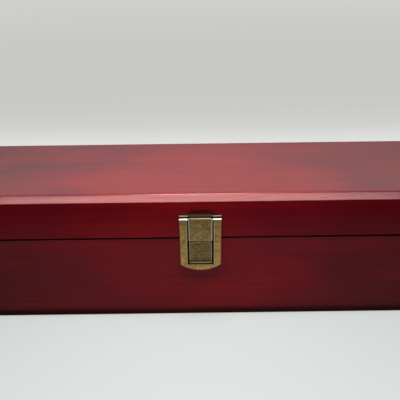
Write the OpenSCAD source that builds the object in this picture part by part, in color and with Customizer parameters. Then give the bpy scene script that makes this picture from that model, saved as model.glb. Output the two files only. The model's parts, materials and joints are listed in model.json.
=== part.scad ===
// Long lidded keepsake case in stained and lacquered wood, with comb-jointed walls, two butt
// hinges let into bevelled back rims, a swinging flap latch and a padded lining.
// The origin is the centre of the underside. The front faces -Y and the lid opens about X.

/* [Case] */
// Length along the front
case_l = 350; // [260:5:480]
// Depth from front to back
case_d = 108; // [90:1:180]
// Height of the closed case
case_h = 97.5; // [84:0.5:150]
// Height of the lid above the middle of the seam
lid_h = 32; // [28:1:45]
// Thickness of the eight walls
wall_t = 10; // [9:0.5:14]
// Thickness of the top board
top_t = 9; // [7:0.5:12]
// Thickness of the bottom board
bottom_t = 6; // [4.5:0.5:10]

/* [Edges] */
// Height and width of the bevel round the top
bevel_w = 4.4; // [2.4:0.2:6]
// Rounding of that bevel's upper arris
upper_arris_r = 3; // [0.4:0.2:4]
// Rounding of its lower arris
lower_arris_r = 0.6; // [0.2:0.2:2.4]
// Rounding of the case's lowest edge
foot_r = 2.5; // [0.5:0.5:5]
// Rounding of the upright corners
corner_r = 1.5; // [0.5:0.5:4]
// Easing of the lid's lower edge
lid_ease = 0.8; // [0.2:0.1:1.5]
// Easing of the base's upper edge
base_ease = 0.5; // [0.2:0.1:1.5]
// Gap between the two rims
rim_gap = 0.7; // [0.2:0.1:1]
// Distance that the lid stands proud of the base at the front and the ends
lid_proud = 0.5; // [0:0.1:1]

/* [Corner joints] */
// Teeth in each corner of the base, an odd number
base_teeth = 7; // [3:2:11]
// Teeth in each corner of the lid, an odd number
lid_teeth = 3; // [3:2:7]
// Glue line between two teeth
glue_t = 0.06; // [0.02:0.02:0.2]

/* [Hinges] */
// Length of a hinge along its pin
hinge_l = 34; // [26:1:50]
// Middle of each hinge from the end of the case
hinge_from_end = 62; // [45:1:100]
// Knuckles on one pin, an odd number
hinge_knuckles = 5; // [3:2:7]
// Outer radius of the hinge knuckles
knuckle_r = 2; // [1.6:0.1:2.4]
// Radius of the hinge pin
hinge_pin_r = 0.9; // [0.6:0.1:1.1]
// Depth of the pin's axis inside the back face
axis_in = 2; // [1.6:0.1:3]
// Thickness of a hinge leaf
leaf_t = 1; // [0.7:0.1:1.4]
// Wood left between a leaf and the inside of the wall
leaf_land = 1; // [0.6:0.1:1.4]
// Gap between two neighbouring knuckles
knuckle_gap = 0.2; // [0.1:0.05:0.4]
// Angle at which the bevelled rims stop the lid
stop_angle = 100; // [92:1:110]
// Screws in each leaf
leaf_screws = 3; // [2:1:4]
// Screw length under the leaf's surface
screw_l = 8; // [5:0.5:12]
// Radius of a screw's shank
screw_r = 0.8; // [0.6:0.1:1]
// Radius of a screw's head
screw_head_r = 1.7; // [1.4:0.1:1.9]

/* [Latch] */
// Width over the two arms of the flap
latch_w = 28; // [24:0.5:36]
// Width of one arm
arm_w = 5; // [4:0.25:6]
// Gap between an arm and the pads between the arms
pad_gap = 1; // [0.6:0.1:1.5]
// Height of the latch pin above the seam
pivot_up = 15.9; // [13:0.1:17]
// Lowest point of the flap below the seam
flap_drop = 23.2; // [20:0.1:28]
// Height of the flap's closed end at its middle
band_h = 4.7; // [3.5:0.1:7]
// Radius of the flap's curved lower edge
flap_arc_r = 24; // [19:0.5:40]
// Sheet thickness of the flap
flap_t = 0.8; // [0.5:0.1:1]
// Depth of the flap's turned-back edge
flap_edge = 2.8; // [1.2:0.1:3]
// Distance from the wood to the front of the flap
latch_proud = 4.5; // [4.2:0.1:6]
// Thickness of the two plates on the wood
plate_t = 0.8; // [0.5:0.1:1.2]
// Height of the lid plate above the pin
plate_over_pin = 2.2; // [1.6:0.1:3]
// Height of the boss's top above the pin
boss_over_pin = 1.5; // [1:0.1:1.6]
// Depth of the lid plate's top lip
lip_depth = 1.8; // [1.2:0.1:2.1]
// Gap between the two pads, just below the seam
pad_split = 1.6; // [0.6:0.1:2.4]
// Distance from the wood to the front of the catch pad
catch_proud = 2.5; // [1.8:0.1:3]
// Distance that the catch plate reaches down behind the flap's closed end
catch_under = 2.2; // [1:0.1:3]
// Distance that its pad reaches down there
catch_pad_under = 0.6; // [0:0.1:1]
// Width of the raised border of the catch pad
catch_rim = 1; // [0.8:0.1:2.5]
// Depth of the field inside that border
catch_sunk = 0.4; // [0.2:0.1:0.8]
// Outer radius of the rolled flap barrels
barrel_r = 1.3; // [1.1:0.05:1.4]
// Radius of the latch pin
latch_pin_r = 0.5; // [0.4:0.05:0.7]
// Radius of a latch nail's shank
nail_r = 0.6; // [0.4:0.05:0.8]
// Length of a latch nail in the wood
nail_l = 7; // [4:0.5:8]

/* [Lining] */
// Thickness of the lining boards
lining_t = 2; // [1.5:0.25:4]
// Height of the base rim above the lining boards
lining_drop = 1.5; // [1:0.5:10]
// Thickness of the floor pad
floor_pad_t = 8; // [4:0.5:15]
// Thickness of the lid pad
lid_pad_t = 5; // [3:0.5:8]

/* [Fits] */
// Radial clearance of a pin in its knuckles
pin_fit = 0.05; // [0.02:0.01:0.1]
// Clearance round a leaf, a screw or a nail in the wood
seat_fit = 0.05; // [0.02:0.01:0.1]
// Clearance of the knuckles in their groove in the rims
groove_fit = 0.3; // [0.15:0.05:0.5]
// Clearance of the lining boards and pads beside their neighbours
lining_fit = 0.3; // [0.2:0.05:0.6]
// Gap between the parts of the latch that pass each other
latch_fit = 0.4; // [0.3:0.05:0.6]

/* [Hidden] */
$fn = 48;

wood = [0.42, 0.09, 0.11];
bronze = [0.50, 0.42, 0.24];
dark_bronze = [0.38, 0.32, 0.20];
satin = [0.80, 0.72, 0.58];

over = 1;                              // how far a cutter runs past the face that it opens
half_l = case_l / 2;
half_d = case_d / 2;
seam_z = case_h - lid_h;
base_rim_z = seam_z - rim_gap / 2;
lid_rim_z = seam_z + rim_gap / 2;
lid_ceiling_z = case_h - top_t;
inner_l = case_l - 2 * wall_t;
inner_d = case_d - 2 * wall_t;
arris_steps = 4;                       // flats that round an arris

// Hinges. The rims are bevelled by two planes through the axis, which meet at the stop angle.
stop_play = 0.8;                       // angle left between the bevels at the stop
rim_bevel = (stop_angle + stop_play) / 2;
axis_y = half_d - axis_in;
rim_bevel_drop = axis_in * tan(rim_bevel);
rim_bevel_start = rim_gap / 2 / tan(rim_bevel);
hinge_x = half_l - hinge_from_end;
leaf_w = wall_t - axis_in - leaf_land;
knuckle_l = (hinge_l - (hinge_knuckles - 1) * knuckle_gap) / hinge_knuckles;
knuckle_pitch = knuckle_l + knuckle_gap;
groove_r = knuckle_r + groove_fit;
pin_head_r = (hinge_pin_r + knuckle_r) / 2;
pin_head_t = 0.6;
screw_y = -(groove_r + leaf_w) / 2;    // middle of the leaf's flat, from the axis
screw_pitch = hinge_l / leaf_screws;
head_land = 0.2;                       // leaf left under a screw's countersink
head_h = leaf_t - head_land;
screw_tip = 2 * screw_r;
recess_w = 0.45;                       // cross recess of a screw head
recess_l = 1.3 * screw_head_r;
recess_depth = 0.5;

// Latch, in its own frame on the wood: X along the case, Y up from the seam, Z away from the wood
pad_w = latch_w - 2 * arm_w - 2 * pad_gap;
window_w = pad_w + 2 * pad_gap;
window_low = band_h - flap_drop;
arc_up = flap_arc_r - flap_drop;       // height of the centre of the flap's curved edge
flap_back = latch_proud - flap_edge;
barrel_proud = 0.3;                    // barrels in front of the flap's face
pin_z = latch_proud + barrel_proud - barrel_r;
barrel_in = pad_w / 2 + 0.6 * pad_gap;
pin_cap_r = (latch_pin_r + barrel_r) / 2;
pin_cap_t = 0.3;                       // cap of the pin, flush with the side of the flap
pin_reach = latch_w / 2 - pin_cap_t;
plate_top = pivot_up + plate_over_pin;
boss_top = pivot_up + boss_over_pin;
boss_bevel = 0.4;
boss_round = 0.6;                      // rounding of the boss's upper edge
boss_relief = [2.2, 1.3];              // relief of the boss beside the barrels, wide and high
catch_bevel = 0.35;
catch_plate_w = latch_w - 2;
catch_low = window_low - catch_under;
catch_pad_low = window_low - catch_pad_under;
window_bevel = 0.3;
flap_edge_r = 0.9;
plate_clear = latch_fit / 2;           // from the middle of the seam to each plate
catch_pad_top = plate_clear - pad_split;
nail_head_r = 2 * nail_r;
nail_head_t = 0.5;
nail_x = latch_w / 2 - arm_w / 2 - pad_gap / 2;
lid_nail_up = [0.25 * plate_top, 0.6 * plate_top];
catch_nail_up = [0.25 * catch_low, 0.75 * catch_low];

// ---- outlines and helpers ----

// Points of an arc round c
function arc_points(c, r, from, to, steps) =
    [for (i = [0 : steps]) let (a = from + (to - from) * i / steps) c + r * [cos(a), sin(a)]];

// Length that the rounding of a bevel's arris takes from each of its flats
function taken(r) = r * tan(22.5);

// Top right edge of the lid, half wide: the two arrises of the bevel, from low to high
function lid_edge(half) = concat(
    arc_points([half - lower_arris_r, case_h - bevel_w - taken(lower_arris_r)],
        lower_arris_r, 0, 45, arris_steps),
    arc_points([half - bevel_w - taken(upper_arris_r), case_h - upper_arris_r],
        upper_arris_r, 45, 90, arris_steps));

function mirrored(points) = [for (i = [len(points) - 1 : -1 : 0]) [-points[i].x, points[i].y]];

// Outline of a block from a to b, t high, with both its front edges bevelled
function bevelled(a, b, t, bevel) =
    [[a, 0], [b, 0], [b, t - bevel], [b - bevel, t], [a + bevel, t], [a, t - bevel]];

// Runs a (Y, Z) outline along X
module along_x(l) {
    translate([-l / 2, 0, 0]) rotate([90, 0, 90]) linear_extrude(l) children();
}

// Runs an (X, Z) outline along Y
module along_y(l) {
    translate([0, l / 2, 0]) rotate([90, 0, 0]) linear_extrude(l) children();
}

module rod(r, x_from, x_to) {
    translate([x_from, 0, 0]) rotate([0, 90, 0]) cylinder(r = r, h = x_to - x_from);
}

module box(x, y, z) {
    translate([x[0], y[0], z[0]]) cube([x[1] - x[0], y[1] - y[0], z[1] - z[0]]);
}

module rounded_rectangle(l, d, r) {
    square([l - 2 * r, d], center = true);
    square([l, d - 2 * r], center = true);
    for (x = [-1, 1], y = [-1, 1]) translate([x * (l / 2 - r), y * (d / 2 - r)]) circle(r);
}

// ---- outer form of the case ----

// Upright column with rounded corners, set back at the front and the ends
module upright_corners(set_back) {
    translate([0, set_back / 2, 0]) linear_extrude(case_h)
        rounded_rectangle(case_l - 2 * set_back, case_d - set_back, corner_r);
}

module base_form() {
    front = lid_proud - half_d;
    side = half_l - lid_proud;
    intersection() {
        upright_corners(lid_proud);
        along_x(case_l) polygon(concat(
            arc_points([front + foot_r, foot_r], foot_r, 180, 270, arris_steps),
            arc_points([half_d - foot_r, foot_r], foot_r, 270, 360, arris_steps),
            [[half_d, seam_z - rim_bevel_drop], [axis_y + rim_bevel_start, base_rim_z],
             [front + base_ease, base_rim_z], [front, base_rim_z - base_ease]]));
        along_y(case_d) polygon(concat(
            arc_points([foot_r - side, foot_r], foot_r, 180, 270, arris_steps),
            arc_points([side - foot_r, foot_r], foot_r, 270, 360, arris_steps),
            [[side, base_rim_z - base_ease], [side - base_ease, base_rim_z],
             [base_ease - side, base_rim_z], [-side, base_rim_z - base_ease]]));
    }
}

module lid_form() {
    intersection() {
        upright_corners(0);
        along_x(case_l) polygon(concat(
            [[-half_d, lid_rim_z + lid_ease], [lid_ease - half_d, lid_rim_z],
             [axis_y + rim_bevel_start, lid_rim_z], [half_d, seam_z + rim_bevel_drop]],
            lid_edge(half_d), mirrored(lid_edge(half_d))));
        along_y(case_d) polygon(concat(
            [[-half_l, lid_rim_z + lid_ease], [lid_ease - half_l, lid_rim_z],
             [half_l - lid_ease, lid_rim_z], [half_l, lid_rim_z + lid_ease]],
            lid_edge(half_l), mirrored(lid_edge(half_l))));
    }
}

// ---- boards ----

// Wall of length l along X with its outer face on y = 0, between two heights, with the teeth
// that start at the number first
module toothed_wall(l, low, high, teeth, first) {
    pitch = (high - low) / teeth;
    half = l / 2 - wall_t;
    box([-half, half], [0, wall_t], [low, high]);
    for (end = [-1, 1], i = [first : 2 : teeth - 1]) {
        bottom = i == 0 ? low : low + i * pitch + glue_t / 2;
        top = i == teeth - 1 ? high : low + (i + 1) * pitch - glue_t / 2;
        box([min(end * half, end * (half + wall_t)), max(end * half, end * (half + wall_t))],
            [0, wall_t], [bottom, top]);
    }
}

module front_wall(low, high, teeth) {
    translate([0, -half_d, 0]) toothed_wall(case_l, low, high, teeth, 0);
}

module back_wall(low, high, teeth) {
    rotate(180) front_wall(low, high, teeth);
}

module right_wall(low, high, teeth) {
    translate([half_l, 0, 0]) rotate(90) toothed_wall(case_d, low, high, teeth, 1);
}

module left_wall(low, high, teeth) {
    rotate(180) right_wall(low, high, teeth);
}

module bottom_board() {
    color(wood) intersection() {
        base_form();
        box([-half_l, half_l], [-half_d, half_d], [0, bottom_t]);
    }
}

module base_front() {
    color(wood) difference() {
        intersection() {
            base_form();
            front_wall(bottom_t, base_rim_z, base_teeth);
        }
        on_base_front() nail_holes(catch_nail_up);
    }
}

module base_back() {
    color(wood) difference() {
        intersection() {
            base_form();
            back_wall(bottom_t, base_rim_z, base_teeth);
        }
        at_hinges() {
            hinge_groove();
            leaf_gain();
            for (x = screw_places()) translate([x, screw_y, 0]) screw_hole();
        }
    }
}

module base_left() {
    color(wood) intersection() {
        base_form();
        left_wall(bottom_t, base_rim_z, base_teeth);
    }
}

module base_right() {
    color(wood) intersection() {
        base_form();
        right_wall(bottom_t, base_rim_z, base_teeth);
    }
}

module top_board() {
    color(wood) intersection() {
        lid_form();
        box([-half_l, half_l], [-half_d, half_d], [lid_ceiling_z, case_h]);
    }
}

module lid_front() {
    color(wood) difference() {
        intersection() {
            lid_form();
            front_wall(lid_rim_z, lid_ceiling_z, lid_teeth);
        }
        on_front() nail_holes(lid_nail_up);
    }
}

module lid_back() {
    color(wood) difference() {
        intersection() {
            lid_form();
            back_wall(lid_rim_z, lid_ceiling_z, lid_teeth);
        }
        at_hinges() mirror([0, 0, 1]) {
            hinge_groove();
            leaf_gain();
            for (x = screw_places()) translate([x, screw_y, 0]) screw_hole();
        }
    }
}

module lid_left() {
    color(wood) intersection() {
        lid_form();
        left_wall(lid_rim_z, lid_ceiling_z, lid_teeth);
    }
}

module lid_right() {
    color(wood) intersection() {
        lid_form();
        right_wall(lid_rim_z, lid_ceiling_z, lid_teeth);
    }
}

// ---- hinges, in a frame with the pin's axis on X ----

module at_hinge(side) {
    translate([side * hinge_x, axis_y, seam_z]) children();
}

module at_hinges() {
    for (side = [-1, 1]) at_hinge(side) children();
}

function screw_places() =
    [for (i = [0 : leaf_screws - 1]) (i - (leaf_screws - 1) / 2) * screw_pitch];

module hinge_groove() {
    reach = hinge_l / 2 + pin_head_t + groove_fit;
    rod(groove_r, -reach, reach);
}

// Bed of the lower leaf in the rim
module leaf_gain() {
    reach = hinge_l / 2 + seat_fit;
    box([-reach, reach], [-leaf_w - seat_fit, 0], [-rim_gap / 2 - leaf_t, over]);
}

module screw_hole() {
    translate([0, 0, -rim_gap / 2 - screw_l - seat_fit])
        cylinder(r = screw_r + seat_fit, h = screw_l + over);
}

module countersink(fit) {
    translate([0, 0, -rim_gap / 2 - head_h])
        cylinder(r1 = screw_r + fit, r2 = screw_head_r + fit, h = head_h);
}

module screw() {
    difference() {
        union() {
            translate([0, 0, -rim_gap / 2 - screw_l + screw_tip])
                cylinder(r = screw_r, h = screw_l - screw_tip);
            translate([0, 0, -rim_gap / 2 - screw_l])
                cylinder(r1 = screw_r / 4, r2 = screw_r, h = screw_tip);
            countersink(0);
        }
        for (turn = [0, 90]) rotate(turn)
            translate([0, 0, -rim_gap / 2]) cube([recess_l, recess_w, 2 * recess_depth], center = true);
    }
}

// Lower leaf with the knuckles that start at the number first, and room for the others
module hinge_leaf(first) {
    color(bronze) difference() {
        union() {
            difference() {
                box([-hinge_l / 2, hinge_l / 2], [-leaf_w, 0],
                    [-rim_gap / 2 - leaf_t, -rim_gap / 2]);
                rod(groove_r, -hinge_l / 2 - over, hinge_l / 2 + over);
            }
            for (i = [first : 2 : hinge_knuckles - 1]) {
                start = i * knuckle_pitch - hinge_l / 2;
                rod(knuckle_r, start, start + knuckle_l);
                box([start, start + knuckle_l], [-groove_r, 0],
                    [-rim_gap / 2 - leaf_t, -rim_gap / 2]);
            }
        }
        rod(hinge_pin_r + pin_fit, -hinge_l / 2 - over, hinge_l / 2 + over);
        for (x = screw_places()) translate([x, screw_y, 0]) {
            screw_hole();
            countersink(seat_fit);
        }
    }
}

module hinge_pin() {
    color(dark_bronze) {
        rod(hinge_pin_r, -hinge_l / 2, hinge_l / 2);
        rod(pin_head_r, -hinge_l / 2 - pin_head_t, -hinge_l / 2);
        rod(pin_head_r, hinge_l / 2, hinge_l / 2 + pin_head_t);
    }
}

module leaf_screws_set() {
    color(bronze) for (x = screw_places()) translate([x, screw_y, 0]) screw();
}

module left_hinge_base_leaf() { at_hinge(-1) hinge_leaf(0); }
module left_hinge_lid_leaf() { at_hinge(-1) mirror([0, 0, 1]) hinge_leaf(1); }
module left_hinge_pin() { at_hinge(-1) hinge_pin(); }
module right_hinge_base_leaf() { at_hinge(1) hinge_leaf(0); }
module right_hinge_lid_leaf() { at_hinge(1) mirror([0, 0, 1]) hinge_leaf(1); }
module right_hinge_pin() { at_hinge(1) hinge_pin(); }
module hinge_base_screws() { at_hinges() leaf_screws_set(); }
module hinge_lid_screws() { at_hinges() mirror([0, 0, 1]) leaf_screws_set(); }

// ---- latch, in its own frame on the front of the case ----

module on_front() {
    translate([0, -half_d, seam_z]) rotate([90, 0, 0]) children();
}

module on_base_front() {
    translate([0, lid_proud, 0]) on_front() children();
}

module at_latch_pin() {
    translate([0, pivot_up, pin_z]) children();
}

module nails_at(heights) {
    for (side = [-1, 1], up = heights) translate([side * nail_x, up, 0]) children();
}

module nail_holes(heights) {
    nails_at(heights) translate([0, 0, -nail_l - seat_fit])
        cylinder(r = nail_r + seat_fit, h = nail_l + plate_t + over);
}

module nails(heights) {
    color(dark_bronze) nails_at(heights) {
        translate([0, 0, -nail_l]) cylinder(r = nail_r, h = nail_l + plate_t);
        translate([0, 0, plate_t]) cylinder(r1 = nail_head_r, r2 = nail_r, h = nail_head_t);
    }
}

// Boss between the flap's arms: bevelled face, rounded top, and reliefs beside the barrels
module latch_boss() {
    half = pad_w / 2;
    relief_front = latch_proud - boss_bevel;
    difference() {
        intersection() {
            along_x(pad_w) polygon(concat(
                [[plate_clear, relief_front], [plate_clear, 0], [boss_top, 0]],
                arc_points([boss_top - boss_round, latch_proud - boss_round], boss_round,
                    0, 90, 6),
                [[plate_clear + boss_bevel, latch_proud]]));
            along_y(2 * boss_top + over) polygon(bevelled(-half, half, latch_proud, boss_bevel));
        }
        for (side = [0, 1]) mirror([side, 0, 0])
            translate([0, boss_top + over, 0]) rotate([90, 0, 0])
                linear_extrude(boss_relief[1] + over) polygon([
                    [half - boss_relief[0], -over], [half + over, -over],
                    [half + over, relief_front], [half, relief_front],
                    [half - boss_relief[0], plate_t]]);
    }
}

module latch_lid_plate() {
    color(bronze) on_front() difference() {
        union() {
            box([-latch_w / 2, latch_w / 2], [plate_clear, plate_top], [0, plate_t]);
            box([-latch_w / 2, latch_w / 2], [plate_top - plate_t, plate_top], [0, lip_depth]);
            latch_boss();
        }
        at_latch_pin() rod(latch_pin_r + pin_fit, -pad_w / 2 - over, pad_w / 2 + over);
        nail_holes(lid_nail_up);
    }
}

module latch_lid_nails() { on_front() nails(lid_nail_up); }

module latch_pin() {
    color(dark_bronze) on_front() at_latch_pin() {
        rod(latch_pin_r, -pin_reach, pin_reach);
        for (side = [0, 180]) rotate([0, side, 0]) rod(pin_cap_r, pin_reach, latch_w / 2);
    }
}

// Outline of the flap seen from its end, with rounded front edges
module flap_section(half, t, r) {
    translate([-half, 0]) square([2 * half, t - r]);
    translate([r - half, 0]) square([2 * (half - r), t]);
    for (side = [-1, 1]) translate([side * (half - r), t - r]) circle(r);
}

// Flap without its window: straight arms and a curved lower edge, both rounded to the front
module flap_blank() {
    intersection() {
        along_y(4 * flap_drop) flap_section(latch_w / 2, flap_edge, flap_edge_r);
        union() {
            translate([0, arc_up, 0]) rotate(180) rotate_extrude(angle = 180) intersection() {
                flap_section(flap_arc_r, flap_edge, flap_edge_r);
                square([flap_arc_r, flap_edge]);
            }
            box([-latch_w / 2, latch_w / 2], [arc_up, pivot_up], [0, flap_edge]);
        }
    }
}

// Outline one sheet inside the flap's edges, with a clearance
module flap_inside(fit) {
    half = latch_w / 2 - flap_t - fit;
    translate([0, arc_up]) circle(flap_arc_r - flap_t - fit);
    translate([-half, arc_up]) square([2 * half, flap_drop + pivot_up]);
}

// Hollow behind the flap's face
module flap_hollow() {
    half = latch_w / 2 - flap_t;
    top = pivot_up - barrel_r;
    translate([0, 0, -over]) linear_extrude(flap_edge - flap_t + over) intersection() {
        translate([-half, -flap_drop]) square([2 * half, flap_drop + top]);
        flap_inside(0);
    }
}

// Window for the two pads, open at the top, with its front edges bevelled
module flap_window() {
    half = window_w / 2;
    translate([-half, window_low, -over]) cube([window_w, 2 * latch_w, flap_edge + 2 * over]);
    intersection() {
        along_y(4 * flap_drop) polygon([
            [-half, flap_edge - window_bevel], [half, flap_edge - window_bevel],
            [half + window_bevel, flap_edge], [-half - window_bevel, flap_edge]]);
        along_x(latch_w) polygon([
            [window_low, flap_edge - window_bevel], [2 * latch_w, flap_edge - window_bevel],
            [2 * latch_w, flap_edge], [window_low - window_bevel, flap_edge]]);
    }
}

module latch_flap() {
    color(bronze) on_front() difference() {
        union() {
            translate([0, 0, flap_back]) difference() {
                flap_blank();
                flap_hollow();
                flap_window();
            }
            at_latch_pin() {
                rod(barrel_r, barrel_in, latch_w / 2);
                rod(barrel_r, -latch_w / 2, -barrel_in);
            }
        }
        at_latch_pin() {
            rod(latch_pin_r + pin_fit, -latch_w / 2 - over, latch_w / 2 + over);
            for (side = [0, 180]) rotate([0, side, 0])
                rod(pin_cap_r + pin_fit, pin_reach - pin_fit, latch_w / 2 + over);
        }
    }
}

module latch_catch_plate() {
    field_w = pad_w - 2 * catch_rim;
    color(dark_bronze) on_base_front() difference() {
        union() {
            linear_extrude(plate_t) intersection() {
                translate([-catch_plate_w / 2, catch_low])
                    square([catch_plate_w, -plate_clear - catch_low]);
                flap_inside(latch_fit);
            }
            intersection() {
                along_y(2 * flap_drop)
                    polygon(bevelled(-pad_w / 2, pad_w / 2, catch_proud, catch_bevel));
                along_x(pad_w)
                    polygon(bevelled(catch_pad_low, catch_pad_top, catch_proud, catch_bevel));
            }
        }
        box([-field_w / 2, field_w / 2], [catch_pad_low + catch_rim, catch_pad_top - catch_rim],
            [catch_proud - catch_sunk, catch_proud + over]);
        nail_holes(catch_nail_up);
    }
}

module latch_catch_nails() { on_base_front() nails(catch_nail_up); }

// ---- lining ----

lining_out_d = inner_d - 2 * lining_fit;
lining_out_l = inner_l - 2 * lining_fit;
lining_top = base_rim_z - lining_drop;

// Upright lining board of length l along X, its outer face on y = 0
module lining_board(l) {
    color(satin) box([-l / 2, l / 2], [0, lining_t], [bottom_t, lining_top]);
}

module lining_front() { translate([0, -lining_out_d / 2, 0]) lining_board(lining_out_l); }
module lining_back() { rotate(180) lining_front(); }

module lining_right() {
    translate([lining_out_l / 2, 0, 0]) rotate(90)
        lining_board(lining_out_d - 2 * lining_t - 2 * lining_fit);
}

module lining_left() { rotate(180) lining_right(); }

module pad(l, d, low, high) {
    color(satin) box([-l / 2, l / 2], [-d / 2, d / 2], [low, high]);
}

module floor_pad() {
    inset = 2 * (lining_t + lining_fit);
    pad(lining_out_l - inset, lining_out_d - inset, bottom_t, bottom_t + floor_pad_t);
}

module lid_pad() {
    pad(lining_out_l, lining_out_d, lid_ceiling_z - lid_pad_t, lid_ceiling_z);
}

bottom_board();
base_front();
base_back();
base_left();
base_right();
top_board();
lid_front();
lid_back();
lid_left();
lid_right();
left_hinge_base_leaf();
left_hinge_lid_leaf();
left_hinge_pin();
right_hinge_base_leaf();
right_hinge_lid_leaf();
right_hinge_pin();
hinge_base_screws();
hinge_lid_screws();
latch_lid_plate();
latch_lid_nails();
latch_pin();
latch_flap();
latch_catch_plate();
latch_catch_nails();
floor_pad();
lining_front();
lining_back();
lining_left();
lining_right();
lid_pad();
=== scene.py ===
import json
import math

import bmesh
import bpy
from mathutils import Matrix, Vector


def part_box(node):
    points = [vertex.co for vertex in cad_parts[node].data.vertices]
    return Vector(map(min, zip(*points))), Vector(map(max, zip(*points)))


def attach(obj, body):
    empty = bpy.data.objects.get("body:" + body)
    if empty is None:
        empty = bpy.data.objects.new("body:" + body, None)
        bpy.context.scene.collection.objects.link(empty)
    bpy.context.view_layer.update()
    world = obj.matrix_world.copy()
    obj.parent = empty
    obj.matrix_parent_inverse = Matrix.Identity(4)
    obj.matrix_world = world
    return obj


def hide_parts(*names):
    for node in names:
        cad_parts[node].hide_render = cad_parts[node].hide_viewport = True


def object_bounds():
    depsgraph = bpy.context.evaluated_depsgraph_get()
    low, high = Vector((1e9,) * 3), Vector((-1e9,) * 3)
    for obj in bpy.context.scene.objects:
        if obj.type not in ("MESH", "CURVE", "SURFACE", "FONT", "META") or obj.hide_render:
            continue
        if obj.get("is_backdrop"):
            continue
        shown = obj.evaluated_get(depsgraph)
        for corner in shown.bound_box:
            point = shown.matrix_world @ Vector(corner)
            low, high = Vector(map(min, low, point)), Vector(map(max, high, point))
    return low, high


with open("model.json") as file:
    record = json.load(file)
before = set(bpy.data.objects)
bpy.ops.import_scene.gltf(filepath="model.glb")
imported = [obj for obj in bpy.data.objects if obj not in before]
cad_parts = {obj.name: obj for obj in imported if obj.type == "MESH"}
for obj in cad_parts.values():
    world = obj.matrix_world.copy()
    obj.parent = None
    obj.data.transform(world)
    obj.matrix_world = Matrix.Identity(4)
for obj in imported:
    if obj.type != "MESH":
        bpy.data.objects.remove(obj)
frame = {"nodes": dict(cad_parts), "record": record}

mm = 0.001
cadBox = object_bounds()
nodes = frame["nodes"]
record = frame["record"]
bodyOf = {node: body for body, group in record["behaviour"]["bodies"].items() for node in group}
slotOf = {part["node"]: part["material_slot"] for part in record["subparts"]}
scene = bpy.context.scene
scene.view_settings.view_transform = "Standard"


# Node trees written as expressions

class Wire:
    def __init__(self, tree, socket):
        self.tree = tree
        self.socket = socket

    def math(self, operation, *values):
        return self.tree.node("ShaderNodeMath", {"operation": operation}, dict(enumerate(values)))

    def __add__(self, other):
        return self.math("ADD", self, other)

    def __sub__(self, other):
        return self.math("SUBTRACT", self, other)

    def __rsub__(self, other):
        return self.math("SUBTRACT", other, self)

    def __mul__(self, other):
        return self.math("MULTIPLY", self, other)

    def __truediv__(self, other):
        return self.math("DIVIDE", self, other)

    def __pow__(self, other):
        return self.math("POWER", self, other)

    __radd__ = __add__
    __rmul__ = __mul__

    def between(self, low, high):  # 0 at low, 1 at high, smooth on the way
        return self.tree.node("ShaderNodeMapRange", {"interpolation_type": "SMOOTHSTEP"},
                              {"Value": self, "From Min": low, "From Max": high})


class Tree:
    def __init__(self, tree):
        self.tree = tree
        tree.nodes.clear()

    def node(self, kind, settings=None, values=None, out=0):
        made = self.tree.nodes.new(kind)
        for name, value in (settings or {}).items():
            if name == "stops":
                ramp = made.color_ramp
                while len(ramp.elements) < len(value):
                    ramp.elements.new(0.5)
                for element, (place, colour) in zip(ramp.elements, value):
                    element.position = place
                    element.color = (*colour, 1)
            else:
                setattr(made, name, value)
        for name, value in (values or {}).items():
            for one in value if isinstance(value, list) else [value]:
                if isinstance(one, Wire):
                    self.tree.links.new(one.socket, made.inputs[name])
                else:
                    made.inputs[name].default_value = one
        return Wire(self, made.outputs[out])

    def outputs(self, wire, *names):  # other outputs of the node behind a wire
        return [Wire(self, wire.socket.node.outputs[name]) for name in names]

    def end(self, kind, socket, wire):
        output = self.tree.nodes.new(kind)
        self.tree.links.new(wire.socket, output.inputs[socket])


class Shader(Tree):
    def __init__(self, owner):
        owner.use_nodes = True
        super().__init__(owner.node_tree)

    def mix(self, factor, first, second):
        return self.node("ShaderNodeMix", {"data_type": "RGBA"},
                         {0: factor, 6: first, 7: second}, 2)

    def ramp(self, factor, *stops):
        return self.node("ShaderNodeValToRGB", {"stops": stops}, {"Fac": factor})

    def noise(self, vector, scale, detail=3.0, roughness=0.5, distortion=0.0):
        return self.node("ShaderNodeTexNoise", {}, {
            "Vector": vector, "Scale": scale, "Detail": detail, "Roughness": roughness,
            "Distortion": distortion})

    def scaled(self, vector, *factors):
        return self.node("ShaderNodeVectorMath", {"operation": "MULTIPLY"}, {0: vector, 1: factors})

    def parts(self, vector):
        split = self.node("ShaderNodeSeparateXYZ", {}, {0: vector})
        return self.outputs(split, 0, 1, 2)

    def place(self, turn=0.0, shift=(0, 0, 0)):  # object coordinates in millimetres
        point = self.node("ShaderNodeTexCoord", out=3)
        return self.node("ShaderNodeMapping", {}, {
            "Vector": point, "Location": shift, "Rotation": (0, 0, math.radians(turn)),
            "Scale": (1000, 1000, 1000)})

    def attribute(self, name):
        return self.node("ShaderNodeAttribute", {"attribute_name": name}, out=2)

    def bump(self, height, strength, depth):
        return self.node("ShaderNodeBump", {}, {
            "Height": height, "Strength": strength, "Distance": depth})

    def surface(self, values):
        self.end("ShaderNodeOutputMaterial", "Surface",
                 self.node("ShaderNodeBsdfPrincipled", {}, values))


def newShader(name):
    material = bpy.data.materials.new(name)
    return material, Shader(material)


# Camera, lamps, sky and table

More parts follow.
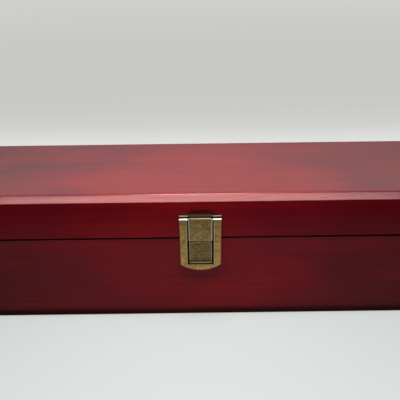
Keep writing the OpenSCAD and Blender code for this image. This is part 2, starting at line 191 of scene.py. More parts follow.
cameraPlan = {
    "pitch": 25.8,          # degrees below the horizon
    "roll": 0.74,
    "lens": 45.0,           # on a sensor 36 mm wide
    "distance": 0.3280,     # along the view, to the front upper edge of the lid
    "edgeAbove": 0.00275,   # that edge above the middle of the view
}
lampPlan = {
    "overhead": {"at": (0.0, -0.08, 0.82), "aim": (0.0, -0.05, 0.09), "size": (0.26, 0.20),
                 "power": 0.20, "spread": 38},
    "keyStrip": {"at": (0.0, -0.33, 0.68), "aim": (0.0, -0.05, 0.09), "size": (0.80, 0.12),
                 "power": 0.85, "spread": 120},
    "frontSpot": {"at": (0.0, -0.62, 0.45), "aim": (0.0, -0.05, 0.05), "size": (0.12, 0.12),
                  "power": 0.017, "spread": 24},
}
skyPlan = {
    "light": (0.09, 0.09, 0.093),
    "horizon": (0.44, 0.45, 0.44),
    "above": (1.24, 1.24, 1.22),
    "rise": (0.28, 0.46),       # heights between which one turns into the other
}
tablePlan = {
    "half": 7.0,
    # The tones paint light and shade onto the table: a bright band just behind the case, dimmer
    # stretches before and beyond it.
    "tones": (              # metres behind the middle of the case, colour
        (-0.130, (0.770, 0.815, 0.805)), (-0.062, (0.715, 0.745, 0.730)),
        (0.330, (0.985, 0.990, 0.970)), (0.415, (0.830, 0.845, 0.820)),
        (0.505, (0.790, 0.800, 0.775)), (0.650, (0.775, 0.780, 0.755)),
        (1.150, (0.790, 0.795, 0.770)), (1.940, (0.830, 0.835, 0.810)),
        (2.700, (0.860, 0.865, 0.840))),
    "bounce": (0.06, 0.06, 0.06),       # what the table gives back to the object
    "painted": 0.7,                     # share of the table's tone that no lamp changes
    # Painted shade for mirrors: seen in the lacquer and metal, the table in front darkens to nearly
    # black with distance.
    "mirroredNear": (0.50, 0.53, 0.54),     # tones in front, as the lacquer mirrors them
    "mirroredFar": (0.012, 0.012, 0.012),
    "mirroredFrom": (0.052, 0.056),         # metres in front where these begin
    "mirroredTurn": (0.172, 0.238),         # and where near turns into far
}


def addCamera(plan):
    corner = Vector((0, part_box("lid_front")[0].y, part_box("top_board")[1].z))
    pitch = math.radians(plan["pitch"])
    ahead = Vector((0, math.cos(pitch), -math.sin(pitch)))
    above = Vector((0, math.sin(pitch), math.cos(pitch)))
    data = bpy.data.cameras.new("camera")
    data.lens = plan["lens"]
    data.sensor_width = 36.0
    data.clip_start = 0.01
    data.clip_end = 50.0
    camera = bpy.data.objects.new("camera", data)
    scene.collection.objects.link(camera)
    place = corner - ahead * plan["distance"] - above * plan["edgeAbove"]
    turn = Matrix.Rotation(math.radians(-plan["roll"]), 4, "Z")
    camera.matrix_world = (Matrix.Translation(place)
                           @ ahead.to_track_quat("-Z", "Y").to_matrix().to_4x4() @ turn)
    scene.camera = camera


def addLamp(name, plan):
    data = bpy.data.lights.new(name, "AREA")
    data.shape = "RECTANGLE"
    data.size, data.size_y = plan["size"]
    data.energy = plan["power"]
    data.spread = math.radians(plan["spread"])
    lamp = bpy.data.objects.new(name, data)
    scene.collection.objects.link(lamp)
    lamp.location = plan["at"]
    lamp.rotation_euler = (Vector(plan["aim"]) - lamp.location).to_track_quat("-Z", "Y").to_euler()
    lamp.visible_camera = False


def seenOrMirrored(shader):  # 1 for rays from the camera, mirrors and glass
    rays = [shader.node("ShaderNodeLightPath", out=place) for place in (0, 3, 6)]
    return rays[0].math("MAXIMUM", rays[0], rays[1].math("MAXIMUM", rays[1], rays[2]))


def paintSky(plan):
    world = bpy.data.worlds.new("sky")
    scene.world = world
    shader = Shader(world)
    point = shader.node("ShaderNodeTexCoord", out=0)
    height = shader.parts(point)[2]
    seen = shader.mix(height.between(*plan["rise"]), (*plan["horizon"], 1), (*plan["above"], 1))
    colour = shader.mix(seenOrMirrored(shader), (*plan["light"], 1), seen)
    shader.end("ShaderNodeOutputWorld", "Surface",
               shader.node("ShaderNodeBackground", {}, {"Color": colour, "Strength": 1.0}))


def addTable(plan):
    half = plan["half"]
    mesh = bpy.data.meshes.new("table")
    mesh.from_pydata([(-half, -half, 0), (half, -half, 0), (half, half, 0), (-half, half, 0)], [],
                     [(0, 1, 2, 3)])
    table = bpy.data.objects.new("table", mesh)
    scene.collection.objects.link(table)
    material, shader = newShader("paleTable")
    y = shader.parts(shader.node("ShaderNodeTexCoord", out=3))[1]
    first, last = plan["tones"][0][0], plan["tones"][-1][0]
    # The tones paint light and shade along the table's depth.
    tone = shader.ramp((y - first) / (last - first),
                       *(((at - first) / (last - first), colour) for at, colour in plan["tones"]))
    # Painted shade for mirrors: the table in front darkens with distance, only as mirrors see it.
    mirror = shader.node("ShaderNodeLightPath", out=3)
    inFront = shader.mix((0 - y).between(*plan["mirroredTurn"]), (*plan["mirroredNear"], 1),
                         (*plan["mirroredFar"], 1))
    tone = shader.mix(mirror * (0 - y).between(*plan["mirroredFrom"]), tone, inFront)
    painted = shader.node("ShaderNodeEmission", {}, {"Color": tone})
    lit = shader.node("ShaderNodeBsdfDiffuse", {}, {"Color": tone})
    shown = shader.node("ShaderNodeMixShader", {}, {0: plan["painted"], 1: lit, 2: painted})
    bounce = shader.node("ShaderNodeBsdfDiffuse", {}, {"Color": (*plan["bounce"], 1)})
    shader.end("ShaderNodeOutputMaterial", "Surface", shader.node(
        "ShaderNodeMixShader", {}, {0: seenOrMirrored(shader), 1: bounce, 2: shown}))
    mesh.materials.append(material)
    table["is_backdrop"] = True


addCamera(cameraPlan)
for name, plan in lampPlan.items():
    addLamp(name, plan)
paintSky(skyPlan)
addTable(tablePlan)
print("camera, lamps, sky and table made")


# Pieces

def camel(name):
    first, *rest = name.split("_")
    return first + "".join(word.capitalize() for word in rest)


def newPiece(name, mesh, material):
    piece = bpy.data.objects.new(name, mesh)
    scene.collection.objects.link(piece)
    mesh.materials.clear()
    mesh.materials.append(material)
    return piece


def settle(piece, *replaced, body=None, slot=None):
    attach(piece, body or bodyOf[replaced[0]])
    if replaced:
        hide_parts(*replaced)


def plainMesh(piece):  # bakes the modifiers into the mesh
    bpy.context.view_layer.update()
    graph = bpy.context.evaluated_depsgraph_get()
    baked = bpy.data.meshes.new_from_object(piece.evaluated_get(graph))
    piece.modifiers.clear()
    piece.data = baked
    return piece


def creased(edge, degrees):
    return len(edge.link_faces) == 2 and edge.calc_face_angle() > math.radians(degrees)


mergeDistance = 0.003 * mm
flatAngle, easedAngle, sharpAngle = 0.5, 34, 30     # degrees
slantWearAndGlint = 3.4     # how fast a slanting face gets the lighter edge colour, wear and painted highlight, where no edge is eased


# A merged copy with soft shading and eased edges
def carryOver(node, material, ease=0.0, segments=2):
    work = bmesh.new()
    work.from_mesh(nodes[node].data)
    bmesh.ops.remove_doubles(work, verts=work.verts[:], dist=mergeDistance)
    bmesh.ops.dissolve_limit(work, angle_limit=math.radians(flatAngle), verts=work.verts[:],
                             edges=work.edges[:])
    eased = None
    if ease:
        edges = [edge for edge in work.edges if creased(edge, easedAngle)]
        eased = set(bmesh.ops.bevel(work, geom=edges, offset=ease * mm, segments=segments,
                                    profile=0.5, affect="EDGES", clamp_overlap=True)["faces"])
    # Eased and slanting faces are marked for the lighter edge colour: wear and painted highlight.
    worn = work.faces.layers.float.new("worn")
    for face in work.faces:
        face.smooth = True
        slant = 1 - max(abs(side) for side in face.normal)
        face[worn] = min(1, slantWearAndGlint * slant) if eased is None else float(face in eased)
    for edge in work.edges:
        edge.smooth = not creased(edge, sharpAngle)
    mesh = bpy.data.meshes.new(camel(node))
    work.to_mesh(mesh)
    work.free()
    piece = newPiece(camel(node), mesh, material)
    piece.modifiers.new("evenNormals", "WEIGHTED_NORMAL").keep_sharp = True
    plainMesh(piece)
    settle(piece, node)
    return piece


# Stained and lacquered boards

woodPlan = {
    "dark": (0.150, 0.0022, 0.0065),
    "middle": (0.288, 0.0050, 0.0090),
    "light": (0.400, 0.0100, 0.014),
    "umber": (0.105, 0.0100, 0.018),    # where the stain took badly
    "plum": (0.125, 0.0050, 0.022),     # broad cooler clouds
    "worn": (0.560, 0.1000, 0.092),     # slanting faces and eased edges: wear, and a painted highlight where the lamps glint on them
    "lacquerRoughness": 0.16,
    "shaded": (0.012, 0.003, 0.003),    # painted shade in the seam, along the foot and above the latch
    "lacquerIor": 1.36,
    "ringFrom": (60, 110),      # millimetres from the heart of the trunk, in Y and Z
    "ringPitch": 0.30,
    "rimDepth": (2, 1.3),       # the seam's shade lies this far inside the outer faces
    "seamShade": (-0.9, -0.2, 0, 0.4),      # heights about the seam: rise and fall of the shade
    "footShade": (0.8, 10.7),
    "grimeReach": (14.5, 5),    # painted shade above the latch: millimetres from its upper edge, along and up
}
boards = {  # node: (turn about Z in degrees, shift in millimetres, weight of the lacquer, tone)
    "top_board": (0, (13, 40, 95), 1.0, 0.61),
    "lid_front": (0, (13, 40, 95), 0.45, 0.56),
    "lid_back": (0, (13, 40, 95), 0.6, 0.55),
    "lid_left": (90, (120, 410, 50), 0.6, 0.55),
    "lid_right": (90, (-370, 130, 75), 0.6, 0.55),
    "base_front": (0, (260, 35, 120), 0.65, 0.60),
    "base_back": (0, (-910, 20, 45), 0.6, 0.55),
    "base_left": (90, (560, -230, 95), 0.6, 0.55),
    "base_right": (90, (-660, 370, 60), 0.6, 0.55),
    "bottom_board": (0, (720, 35, 120), 0.35, 0.55),
}


seam = 1000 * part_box("base_front")[1].z
plateTop = 1000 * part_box("latch_lid_plate")[1].z
halfLength, halfDepth = (1000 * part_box("base_back")[1][axis] for axis in (0, 1))


def stainedWood(name, turn, shift, lacquer, tone, plan):
    material, shader = newShader(name)
    point = shader.place(turn, shift)
    fibre = shader.noise(shader.scaled(point, 0.05, 1, 1), 1.5, 4, 0.6)
    streak = shader.noise(shader.scaled(point, 0.035, 1, 1), 0.34, 4, 0.55, 0.4)
    cloud = shader.noise(shader.scaled(point, 0.55, 1, 1), 0.024, 3, 0.55)
    x, y, z = shader.parts(shader.scaled(point, 0.03, 1, 1))
    heart = plan["ringFrom"]
    fromHeart = ((y + heart[0]) ** 2 + (z + heart[1]) ** 2) ** 0.5
    ringPlace = fromHeart * plan["ringPitch"] + streak * 3
    ring = shader.node("ShaderNodeTexNoise", {"noise_dimensions": "1D"},
                       {"W": ringPlace, "Scale": 1.0, "Detail": 2.0, "Roughness": 0.6})
    across, deep, height = shader.parts(shader.place())
    ends, sides = (across * across) ** 0.5, (deep * deep) ** 0.5
    # Painted shade: the tone falls toward the ends, toward +X and toward the foot, where the light
    # falls off.
    tone = (tone + (fibre - 0.5) * 0.4 + (streak - 0.5) * 0.55 + (ring - 0.5) * 0.35
            + (cloud - 0.5) * 0.55 - 0.10 * ends.between(25, 150)
            - 0.06 * across.between(20, 150) - 0.12 * (1 - height.between(2, 45)))
    colour = shader.ramp(tone, (0.12, plan["dark"]), (0.5, plan["middle"]), (0.88, plan["light"]))
    blotch = shader.noise(shader.scaled(point, 0.45, 1, 1), 0.045, 4, 0.62).between(0.50, 0.72)
    # The uneven stain below is random, but weighs more toward the ends: painted shade where the
    # light falls off.
    outer = 0.45 + ends.between(15, 110) * 0.55
    colour = shader.mix(blotch * outer * 0.33, colour, (*plan["umber"], 1))
    broad = shader.noise(shader.scaled(point, 0.6, 1, 1), 0.016, 2, 0.5).between(0.42, 0.70)
    colour = shader.mix(broad * outer * 0.60, colour, (*plan["plum"], 1))
    pore = shader.noise(shader.scaled(point, 0.09, 1, 1), 2.4, 2, 0.5).between(0.63, 0.74)
    colour = shader.mix(pore * 0.25, colour, (*plan["umber"], 1))
    # Wear and painted highlight on slanting faces, such as the lamps' glint on the chamfer; it
    # fades toward +X as the glint does.
    rubbedAndGlint = shader.attribute("worn") * (0.55 + (fibre - 0.5) * 0.8 + (streak - 0.5) * 0.9
                                           - 0.4 * across.between(65, 115))
    colour = shader.mix(rubbedAndGlint, colour, (*plan["worn"], 1))
    # Painted shade: the seam's outer edge, the foot and a patch above the latch darken toward the
    # shaded colour; the seam and foot also lose lacquer.
    rim = plan["rimDepth"]
    outside = ends.between(*(halfLength - depth for depth in rim))
    outside = outside.math("MAXIMUM", outside, sides.between(*(halfDepth - depth for depth in rim)))
    seamShade = [seam + step for step in plan["seamShade"]]
    shaded = outside * height.between(*seamShade[:2]) * (1 - height.between(*seamShade[2:]))
    foot = 0.96 * (1 - height.between(*plan["footShade"]))
    along, up = plan["grimeReach"]
    fromLatch = ((across / along) ** 2 + ((height - plateTop) / up) ** 2) ** 0.5
    inFront = (0 - deep).between(*(halfDepth - depth for depth in rim))
    latchShade = (1 - fromLatch.between(0.45, 1.0)) * inFront
    paintedShade = shaded.math("MAXIMUM", shaded, foot.math("MAXIMUM", foot, latchShade * 0.85))
    colour = shader.mix(paintedShade, colour, (*plan["shaded"], 1))
    roughness = 0.36 + (fibre - 0.5) * 0.25 + (cloud - 0.5) * 0.1
    shader.surface({
        "Base Color": colour, "Roughness": roughness, "Specular IOR Level": 0.0,
        "Coat Weight": lacquer * (1 - shaded) * (1 - foot * 0.6),
        "Coat Roughness": plan["lacquerRoughness"], "Coat IOR": plan["lacquerIor"],
        "Normal": shader.bump(fibre * 0.6 + ring * 0.4 - pore * 0.5, 0.3, 0.05 * mm)})
    return material


for node, settings in boards.items():
    carryOver(node, stainedWood(camel(node) + "Wood", *settings, woodPlan))
print("boards made")


# Antique bronze: the latch is brassy where hands rub it and nearly black in its recesses; some
# marks also paint shade in its gaps and highlights along its edges.

bronzePlan = {
    # patina in the hollows, also used as painted shade in gaps
    "patinaAndShade": (0.022, 0.015, 0.009),
    "brown": (0.060, 0.040, 0.018),
    # edge: worn brass, also used to paint highlights along edges
    "edge": (0.88, 0.77, 0.57),
    "rolled": (0.30, 0.265, 0.205),
    "copper": (0.64, 0.34, 0.17),
    "brass": (0.50, 0.35, 0.11),
    "dull": (0.17, 0.145, 0.095),
    "lip": (0.33, 0.25, 0.13),
    "flap": ((0.310, 0.20, 0.064), (0.565, 0.36, 0.100), (0.750, 0.51, 0.165)),
    "boss": ((0.27, 0.17, 0.07), (0.47, 0.305, 0.11), (0.60, 0.42, 0.16)),
    "catch": ((0.205, 0.13, 0.056), (0.36, 0.24, 0.09), (0.53, 0.365, 0.148)),
    "hinge": ((0.16, 0.12, 0.05), (0.33, 0.25, 0.09), (0.47, 0.37, 0.15)),
}


def within(wire, low, high, soft=0.1):  # 1 between the two, 0 outside
    return wire.between(low - soft, low + soft) * (1 - wire.between(high - soft, high + soft))


def bronze(name, tones, plan, depth=None, recessed="patinaAndShade", marks=()):
    material, shader = newShader(name)
    point = shader.place()
    cloud = shader.noise(point, 0.45, 4, 0.65)
    grain = shader.noise(point, 3.5, 3, 0.6)
    colour = shader.ramp(0.5 + (cloud - 0.5) * 2.1 + (grain - 0.5) * 0.7,
                         (0.15, tones[0]), (0.5, tones[1]), (0.85, tones[2]))
    speck = shader.noise(point, 1.5, 2, 0.5).between(0.60, 0.75)
    colour = shader.mix(speck * 0.5, colour, (*plan["patinaAndShade"], 1))
    worn = shader.attribute("worn")
    across, deep, height = shader.parts(point)
    axes = {"x": (across * across) ** 0.5, "y": frontFace - deep, "z": height,
            "arc": (across ** 2 + (height - flapLow - flapArc) ** 2) ** 0.5}
    if depth:  # depths in front of the wood, in millimetres, where the patina ends
        recess = 1 - axes["y"].between(*depth)
        colour = shader.mix(recess, colour, (*plan[recessed], 1))
        worn = worn * (1 - recess * 0.85)
    for tone, strength, places in marks:
        share = strength
        for axis, (low, high) in places.items():
            share = share * within(axes[axis], low, high)
        # edge marks paint highlights: they raise the lighter edge colour
        if tone == "edge":
            worn = worn.math("MAXIMUM", worn, share)
        else:
            colour = shader.mix(share, colour, (*plan[tone], 1))
            worn = worn * (1 - share)
    # Wear and painted highlight: eased faces and edge marks turn lighter and less metallic.
    colour = shader.mix(worn * (0.8 + (grain - 0.5) * 0.6), colour, (*plan["edge"], 1))
    roughness = 0.36 + (cloud - 0.5) * 0.25 + speck * 0.15
    shader.surface({"Base Color": colour, "Metallic": 1 - 0.85 * worn, "Roughness": roughness,
                    "Normal": shader.bump(grain + cloud, 0.35, 0.03 * mm)})
    return material


flapLow = 1000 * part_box("latch_flap")[0].z
frontFace = 1000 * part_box("lid_front")[0].y
flapArc = 24.0      # radius of the flap's curved edge
padLow = flapLow + 4.1
pinUp = 500 * (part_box("latch_pin")[0].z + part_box("latch_pin")[1].z)
flapBronze = bronze("flapBronze", bronzePlan["flap"], bronzePlan, (3.3, 4.3), marks=(
    ("rolled", 1.0, {"z": (pinUp - 1.0, pinUp + 1.4)}),
    ("brass", 0.85, {"z": (pinUp - 1.8, pinUp - 1.0)}),
    ("copper", 0.65, {"y": (3.4, 4.35), "z": (flapLow - 1, seam - 6)}),
    ("copper", 0.75, {"y": (3.0, 4.8), "z": (flapLow - 1, flapLow + 4.6), "arc": (22.8, 24.4)}),
    ("copper", 0.5, {"x": (13.1, 14.2), "z": (flapLow + 3.6, pinUp - 1.6)}),
    # painted shade along the window's lower edge
    ("patinaAndShade", 0.9, {"x": (-1, 9.3), "z": (flapLow + 4.25, flapLow + 4.9)}),
    # painted highlight along the inner edges of the flap's arms
    ("edge", 0.9, {"x": (8.9, 9.5), "y": (4.1, 4.7), "z": (flapLow + 5.2, pinUp - 1.6)})))
bossBronze = bronze("bossBronze", bronzePlan["boss"], bronzePlan, (4.15, 4.45), "brown", marks=(
    # painted highlight along the lip over the barrels
    ("edge", 0.8, {"x": (8.2, 15), "y": (1.2, 2.0), "z": (plateTop - 0.5, plateTop + 1)}),
    # painted shadow of the lip on the plate above the barrels
    ("patinaAndShade", 0.95, {"y": (-1, 1.3), "z": (pinUp - 3, plateTop - 0.45)}),
    ("lip", 0.9, {"x": (-1, 7.9), "y": (-1, 2.0), "z": (plateTop - 0.5, plateTop + 1)}),
    ("dull", 0.9, {"x": (-1, 8.4), "y": (3.5, 4.7), "z": (pinUp + 0.6, pinUp + 1.9)}),
    # painted highlights along the boss's sides
    ("edge", 1.0, {"x": (7.3, 8.2), "y": (3.9, 4.7), "z": (seam - 1, pinUp + 0.9)}),
    # painted highlight along the boss's lower edge
    ("edge", 0.5, {"y": (4.3, 4.7), "z": (seam + 0.9, seam + 1.4)})))
catchBronze = bronze("catchBronze", bronzePlan["catch"], bronzePlan, (1.1, 1.9), marks=(
    # painted highlights along the catch's sides
    ("edge", 1.0, {"x": (7.3, 8.2), "y": (2.0, 2.7)}),
    # painted shade along the lower step of the catch's field
    ("patinaAndShade", 0.6, {"x": (-1, 6.9), "z": (padLow + 1.1, padLow + 1.5)}),
    # painted highlight along the catch's lower border
    ("edge", 1.0, {"y": (1.9, 2.7), "z": (padLow - 0.1, padLow + 1.0)})))
hingeBronze = bronze("hingeBronze", bronzePlan["hinge"], bronzePlan)
pinBronze = bronze("pinBronze", bronzePlan["boss"], bronzePlan)
carryOver("latch_flap", flapBronze, 0.15)
carryOver("latch_lid_plate", bossBronze, 0.35)
carryOver("latch_catch_plate", catchBronze, 0.2)
carryOver("latch_pin", pinBronze, 0.08)
for side in ("left", "right"):
    for part in ("base_leaf", "lid_leaf"):
        carryOver(f"{side}_hinge_{part}", hingeBronze, 0.1)
    carryOver(f"{side}_hinge_pin", hingeBronze, 0.15)
print("latch and hinges made")


# Screws and nails, each set grown on the points where its heads are

class Recipe(Tree):  # a Geometry Nodes tree with named sizes
    def __init__(self, name, sizes):
        super().__init__(bpy.data.node_groups.new(name, "GeometryNodeTree"))
        face = self.tree.interface
        face.new_socket("Geometry", in_out="INPUT", socket_type="NodeSocketGeometry")
        face.new_socket("Geometry", in_out="OUTPUT", socket_type="NodeSocketGeometry")
        self.keys = {}
        for size, value in sizes.items():
            socket = face.new_socket(size, in_out="INPUT", socket_type="NodeSocketFloat")
            socket.default_value = value
            self.keys[size] = socket.identifier
        self.start = self.tree.nodes.new("NodeGroupInput")

    def given(self, name):
        return Wire(self, self.start.outputs[name])

    def vector(self, x=0.0, y=0.0, z=0.0):
        return self.node("ShaderNodeCombineXYZ", {}, {0: x, 1: y, 2: z})

    def moved(self, shape, x=0.0, y=0.0, z=0.0, scale=(1, 1, 1)):
        return self.node("GeometryNodeTransform", {}, {
            "Geometry": shape, "Translation": self.vector(x, y, z), "Scale": scale})

    def joined(self, *shapes):
        return self.node("GeometryNodeJoinGeometry", {}, {0: list(shapes)})

    def finish(self, shape, material):
        whole = self.node("GeometryNodeRealizeInstances", {}, {0: shape})
        self.end("NodeGroupOutput", 0, self.node("GeometryNodeSetMaterial", {}, {
            "Geometry": whole, "Material": material}))

    def grow(self, name, seed, sizes):  # runs the recipe on a seed mesh and keeps the plain result
        piece = bpy.data.objects.new(name, seed)
        scene.collection.objects.link(piece)
        growth = piece.modifiers.new(name, "NODES")
        growth.node_group = self.tree
        for size, value in sizes.items():
            growth[self.keys[size]] = value
        return plainMesh(piece)


def islands(node):  # lowest and highest corners of each loose part of a node
    work = bmesh.new()
    work.from_mesh(nodes[node].data)
    bmesh.ops.remove_doubles(work, verts=work.verts[:], dist=mergeDistance)
    left, found = set(work.verts), []
    while left:
        group, edge = set(), [left.pop()]
        while edge:
            vert = edge.pop()
            group.add(vert)
            for link in vert.link_edges:
                other = link.other_vert(vert)
                if other in left:
                    left.remove(other)
                    edge.append(other)
        axes = [[vert.co[axis] for vert in group] for axis in range(3)]
        found.append((Vector(map(min, axes)), Vector(map(max, axes))))
    work.free()
    return sorted(found, key=lambda corners: tuple(corners[0]))


def pointMesh(name, points):
    mesh = bpy.data.meshes.new(name)
    mesh.from_pydata(points, [], [])
    return mesh


def sharpen(piece, degrees=32):
    work = bmesh.new()
    work.from_mesh(piece.data)
    bmesh.ops.remove_doubles(work, verts=work.verts[:], dist=0.002 * mm)
    worn = work.faces.layers.float.new("worn")
    for face in work.faces:
        face.smooth = True
        face[worn] = 0.15
    for edge in work.edges:
        edge.smooth = not creased(edge, degrees)
    work.to_mesh(piece.data)
    work.free()


screwSizes = {"Head radius": 1.7 * mm, "Head depth": 0.8 * mm, "Shank radius": 0.68 * mm,
              "Length": 8 * mm, "Thread": 0.13 * mm, "Pitch": 0.75 * mm, "Recess length": 2.2 * mm,
              "Recess width": 0.45 * mm, "Recess depth": 0.5 * mm}


def screwRecipe(material):  # countersunk, cross-recessed, point down
    tree = Recipe("screws", screwSizes)
    head, depth, shank, length, thread, pitch = (
        tree.given(name) for name in list(screwSizes)[:6])
    cone = tree.node("GeometryNodeMeshCone", {}, {
        "Vertices": 40, "Radius Top": head, "Radius Bottom": shank, "Depth": depth})
    cone = tree.moved(cone, z=0 - depth)
    slot = [tree.node("GeometryNodeMeshCube", {}, {"Size": tree.vector(*size)}) for size in (
        (tree.given("Recess length"), tree.given("Recess width"), 2 * tree.given("Recess depth")),
        (tree.given("Recess width"), tree.given("Recess length"), 2 * tree.given("Recess depth")))]
    cone = tree.node("GeometryNodeMeshBoolean", {"operation": "DIFFERENCE"},
                     {"Mesh 1": cone, "Mesh 2": slot})
    tip = 2.4 * shank
    body = length - depth - tip
    stem = tree.node("GeometryNodeMeshCylinder", {}, {
        "Vertices": 24, "Radius": shank, "Depth": body})
    stem = tree.moved(stem, z=0 - depth - body / 2)
    point = tree.node("GeometryNodeMeshCone", {}, {
        "Vertices": 24, "Radius Top": shank, "Radius Bottom": 0.1 * shank, "Depth": tip})
    point = tree.moved(point, z=0 - length)
    coil = tree.node("GeometryNodeCurveSpiral", {}, {
        "Resolution": 20, "Rotations": body / pitch, "Start Radius": shank, "End Radius": shank,
        "Height": body - pitch})
    ridge = tree.node("GeometryNodeCurvePrimitiveCircle", {"mode": "RADIUS"},
                      {"Resolution": 3, "Radius": thread})
    coil = tree.node("GeometryNodeCurveToMesh", {}, {0: coil, 1: ridge, "Fill Caps": True})
    coil = tree.moved(coil, z=0 - length + tip + 0.5 * pitch)
    turn = tree.node("FunctionNodeRandomValue", {"data_type": "FLOAT"},
                     {2: 0.0, 3: 1.57, "Seed": 4}, 1)
    rows = tree.node("GeometryNodeInstanceOnPoints", {}, {
        "Points": tree.given("Geometry"), "Instance": tree.joined(cone, stem, point, coil),
        "Rotation": tree.node("FunctionNodeEulerToRotation", {}, {0: tree.vector(z=turn)})})
    tree.finish(rows, material)
    return tree


nailSizes = {"Head radius": 1.2 * mm, "Crown": 0.42 * mm, "Shank radius": 0.6 * mm,
             "Length": 7 * mm}


def nailRecipe(material):  # a shallow domed head in front, the shank behind it along +Y
    tree = Recipe("nails", nailSizes)
    head, crown, shank, length = (tree.given(name) for name in nailSizes)
    dome = tree.node("GeometryNodeMeshUVSphere", {}, {"Segments": 32, "Rings": 16, "Radius": 1.0})
    dome = tree.moved(dome, scale=tree.vector(head, crown, head))
    stem = tree.node("GeometryNodeMeshCylinder", {}, {
        "Vertices": 20, "Radius": shank, "Depth": length})
    stem = tree.node("GeometryNodeTransform", {}, {
        "Geometry": stem, "Rotation": (math.radians(90), 0, 0),
        "Translation": tree.vector(y=length / 2)})
    rows = tree.node("GeometryNodeInstanceOnPoints", {}, {
        "Points": tree.given("Geometry"), "Instance": tree.joined(dome, stem)})
    tree.finish(rows, material)
    return tree


screws = screwRecipe(hingeBronze)
for node, up in (("hinge_base_screws", 1), ("hinge_lid_screws", -1)):
    heads = [((low.x + high.x) / 2, (low.y + high.y) / 2, high.z if up > 0 else -low.z)
             for low, high in islands(node)]
    deep = [high.z - low.z for low, high in islands(node)][0]
    piece = screws.grow(camel(node), pointMesh(camel(node), heads), {"Length": deep})
    if up < 0:  # these point upwards
        piece.data.transform(Matrix.Rotation(math.pi, 4, "X"))
        piece.data.transform(Matrix.Translation((0, 2 * heads[0][1], 0)))
    sharpen(piece)
    settle(piece, node)
nails = nailRecipe(pinBronze)
for node in ("latch_lid_nails", "latch_catch_nails"):
    corners = islands(node)
    low, high = corners[0]
    sizes = {"Head radius": (high.x - low.x) / 2, "Length": high.y - low.y - nailSizes["Crown"]}
    points = [((low.x + high.x) / 2, low.y + nailSizes["Crown"], (low.z + high.z) / 2)
              for low, high in corners]
    piece = nails.grow(camel(node), pointMesh(camel(node), points), sizes)
    sharpen(piece)
    settle(piece, node)
print("screws and nails made")


# Satin lining: a padded floor and lid, and four wrapped boards round the walls

satinPlan = {
    "colour": (0.60, 0.48, 0.30),
    "shade": (0.42, 0.32, 0.18),
    "sheen": 0.5,
}
padPlan = {
    "voxel": 3.0,           # millimetres
    "pressure": 4.0,
    "swell": 2.2,           # most that a point may move
    "start": 3.0,           # height left for the crown
    "inset": 0.6,
    "pucker": 0.7,          # depth of the small folds along the border
    "puckerPitch": 6.5,
    "puckerReach": 12.0,
    "waver": (1.3, 17),     # radians and millimetres by which the puckers drift
    "crownShare": 0.55,     # of the height left, given to the crown
    "frames": 20,
}


def satin(name, plan):
    material, shader = newShader(name)
    point = shader.place()
    cloud = shader.noise(point, 0.045, 3, 0.5)
    slub = shader.noise(shader.scaled(point, 0.08, 1, 1), 1.2, 2, 0.5)
    warp = shader.node("ShaderNodeTexWave", {"bands_direction": "X"}, {
        "Vector": point, "Scale": 0.9, "Distortion": 0.6, "Detail": 1.0})
    colour = shader.mix((cloud - 0.5) * 1.2 + (slub - 0.5) * 0.8 + 0.5, (*plan["shade"], 1),
                        (*plan["colour"], 1))
    roughness = 0.40 + (cloud - 0.5) * 0.2 + (slub - 0.5) * 0.15
    shader.surface({
        "Base Color": colour, "Roughness": roughness, "Specular IOR Level": 0.6,
        "Sheen Weight": plan["sheen"], "Sheen Roughness": 0.35,
        "Normal": shader.bump(warp * 0.5 + slub, 0.35, 0.06 * mm)})
    return material


def roundedBlock(name, low, high, material):
    work = bmesh.new()
    bmesh.ops.create_cube(work, size=1)
    for vert in work.verts:
        vert.co = Vector((low[axis] if vert.co[axis] < 0 else high[axis]) for axis in range(3))
    bmesh.ops.bevel(work, geom=work.edges[:], offset=0.3 * (high.z - low.z), segments=3,
                    profile=0.5, affect="EDGES")
    mesh = bpy.data.meshes.new(name)
    work.to_mesh(mesh)
    work.free()
    return newPiece(name, mesh, material)


def inflate(piece, plan):  # a closed cloth bag under pressure, its moves capped
    remesh = piece.modifiers.new("remesh", "REMESH")
    remesh.mode = "VOXEL"
    remesh.voxel_size = plan["voxel"] * mm
    plainMesh(piece)
    before = [vert.co.copy() for vert in piece.data.vertices]
    cloth = piece.modifiers.new("cloth", "CLOTH")
    cloth.settings.use_pressure = True
    cloth.settings.uniform_pressure_force = plan["pressure"]
    cloth.settings.effector_weights.gravity = 0
    for frameNumber in range(1, plan["frames"] + 1):
        scene.frame_set(frameNumber)
    plainMesh(piece)
    scene.frame_set(1)
    cap = plan["swell"] * mm
    for vert, start in zip(piece.data.vertices, before):
        step = vert.co - start
        if step.length > cap:
            vert.co = start + step * (cap / step.length)


def crown(piece, low, high, face, plan):  # crowns the pad, puckers its border, keeps its box
    middle, half = (low + high) / 2, (high - low) / 2
    drift, wave = plan["waver"]
    for vert in piece.data.vertices:
        across, along = vert.co.y - middle.y, vert.co.x - middle.x
        edge = min(half.y - abs(across), half.x - abs(along)) / mm
        lift = (vert.co.z - middle.z) * face
        if lift > 0:
            round_ = math.cos(min(1, abs(across) / half.y) * math.pi / 2) ** 0.5
            ends = min(1, (half.x - abs(along)) / half.y)
            rise = plan["start"] * plan["crownShare"] * mm
            vert.co.z += face * rise * round_ * (1 - (1 - ends) ** 2)
            run = along if half.y - abs(across) < half.x - abs(along) else across
            fold = 0.5 + 0.5 * math.sin(run / mm * 2 * math.pi / plan["puckerPitch"]
                                        + drift * math.sin(run / mm / wave))
            fade = max(0, 1 - edge / plan["puckerReach"]) ** 1.5
            vert.co.z -= face * plan["pucker"] * mm * fade * fold
        for axis in range(3):
            vert.co[axis] = max(low[axis], min(high[axis], vert.co[axis]))


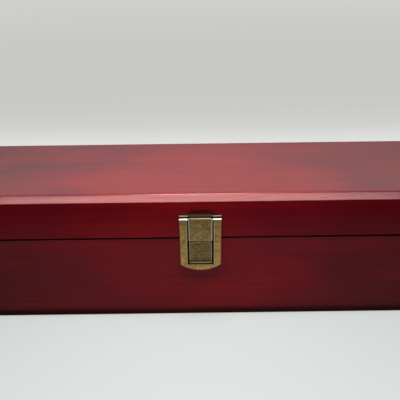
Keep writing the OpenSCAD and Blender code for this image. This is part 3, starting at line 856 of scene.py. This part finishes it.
def soften(piece):
    for polygon in piece.data.polygons:
        polygon.use_smooth = True
    smooth = piece.modifiers.new("smooth", "SMOOTH")
    smooth.factor = 0.5
    smooth.iterations = 2
    finer = piece.modifiers.new("finer", "SUBSURF")
    finer.levels = finer.render_levels = 1
    plainMesh(piece)


def fill(piece, low, high):  # stretches a pad so that it fills the space between its neighbours
    axes = [[vert.co[axis] for vert in piece.data.vertices] for axis in range(3)]
    for axis, places in enumerate(axes):
        start, end = min(places), max(places)
        grow = (high[axis] - low[axis]) / (end - start)
        for vert, place in zip(piece.data.vertices, places):
            vert.co[axis] = low[axis] + (place - start) * grow


lining = satin("satin", satinPlan)
for node, face in (("floor_pad", 1), ("lid_pad", -1)):
    low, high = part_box(node)
    inset = padPlan["inset"] * mm
    start = (Vector((low.x + inset, low.y + inset, low.z)),
             Vector((high.x - inset, high.y - inset, high.z)))
    start[1 if face > 0 else 0].z -= face * padPlan["start"] * mm
    piece = roundedBlock(camel(node), *start, lining)
    inflate(piece, padPlan)
    crown(piece, low, high, face, padPlan)
    soften(piece)
    fill(piece, low, high)
    settle(piece, node)
for node in ("lining_front", "lining_back", "lining_left", "lining_right"):
    carryOver(node, lining, 0.6, 3)

trimSizes = {"Strand": 0.42 * mm, "Spacing": 0.45 * mm, "Turns": 210.0, "Step": 0.7 * mm}


def trimRecipe(material):  # a cord of three twisted strands along a closed path
    tree = Recipe("trim", trimSizes)
    strand, spacing, turns, step = (tree.given(name) for name in trimSizes)
    path = tree.node("GeometryNodeMeshToCurve", {}, {0: tree.given("Geometry")})
    path = tree.node("GeometryNodeResampleCurve", {"mode": "LENGTH"},
                     {"Curve": path, "Length": step})
    along = tree.node("GeometryNodeSplineParameter", out=1)
    path = tree.node("GeometryNodeSetCurveTilt", {},
                     {"Curve": path, "Tilt": along * turns * math.tau})
    ring = tree.node("GeometryNodeCurvePrimitiveCircle", {"mode": "RADIUS"},
                     {"Resolution": 7, "Radius": strand})
    strands = [tree.moved(ring, x=spacing * math.cos(turn), y=spacing * math.sin(turn))
               for turn in (0, math.tau / 3, 2 * math.tau / 3)]
    cord = tree.node("GeometryNodeCurveToMesh", {}, {0: path, 1: tree.joined(*strands)})
    tree.finish(cord, material)
    return tree


def loopMesh(name, low, high, height, radius, steps=8):  # a rounded rectangle of edges
    centres = [(high.x - radius, high.y - radius), (low.x + radius, high.y - radius),
               (low.x + radius, low.y + radius), (high.x - radius, low.y + radius)]
    points = []
    for quarter, (x, y) in enumerate(centres):
        for step in range(steps + 1):
            turn = (quarter + step / steps) * math.pi / 2
            points.append((x + radius * math.cos(turn), y + radius * math.sin(turn), height))
    mesh = bpy.data.meshes.new(name)
    mesh.from_pydata(points, [(i, (i + 1) % len(points)) for i in range(len(points))], [])
    return mesh


cord = trimRecipe(satin("cordSatin", satinPlan))
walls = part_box("lining_front")[0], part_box("lining_back")[1]
floor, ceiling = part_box("floor_pad"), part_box("lid_pad")
trims = {  # name: (beside which node, the box that it follows, then in millimetres: how far inside
           # the box, its height from the box's first or second corner, the radius of its corners)
    "wallTrim": ("lining_front", walls, 1.0, 1, 0.2, 1.5),
    "lidTrim": ("lid_pad", ceiling, 0.7, 0, 1.6, 2.5),
    "floorTrim": ("floor_pad", floor, 0.7, 1, -2.2, 2.5),
}
for name, (beside, box, inside, corner, above, radius) in trims.items():
    rim = Vector((inside, inside, 0)) * mm
    path = loopMesh(name, box[0] + rim, box[1] - rim, box[corner].z + above * mm, radius * mm)
    piece = cord.grow(name, path, {})
    for polygon in piece.data.polygons:
        polygon.use_smooth = True
    settle(piece, body=bodyOf[beside], slot=slotOf[beside])
print("lining made")

sizes = {"cad": [list(corner) for corner in cadBox],
         "visual": [list(corner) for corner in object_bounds()]}
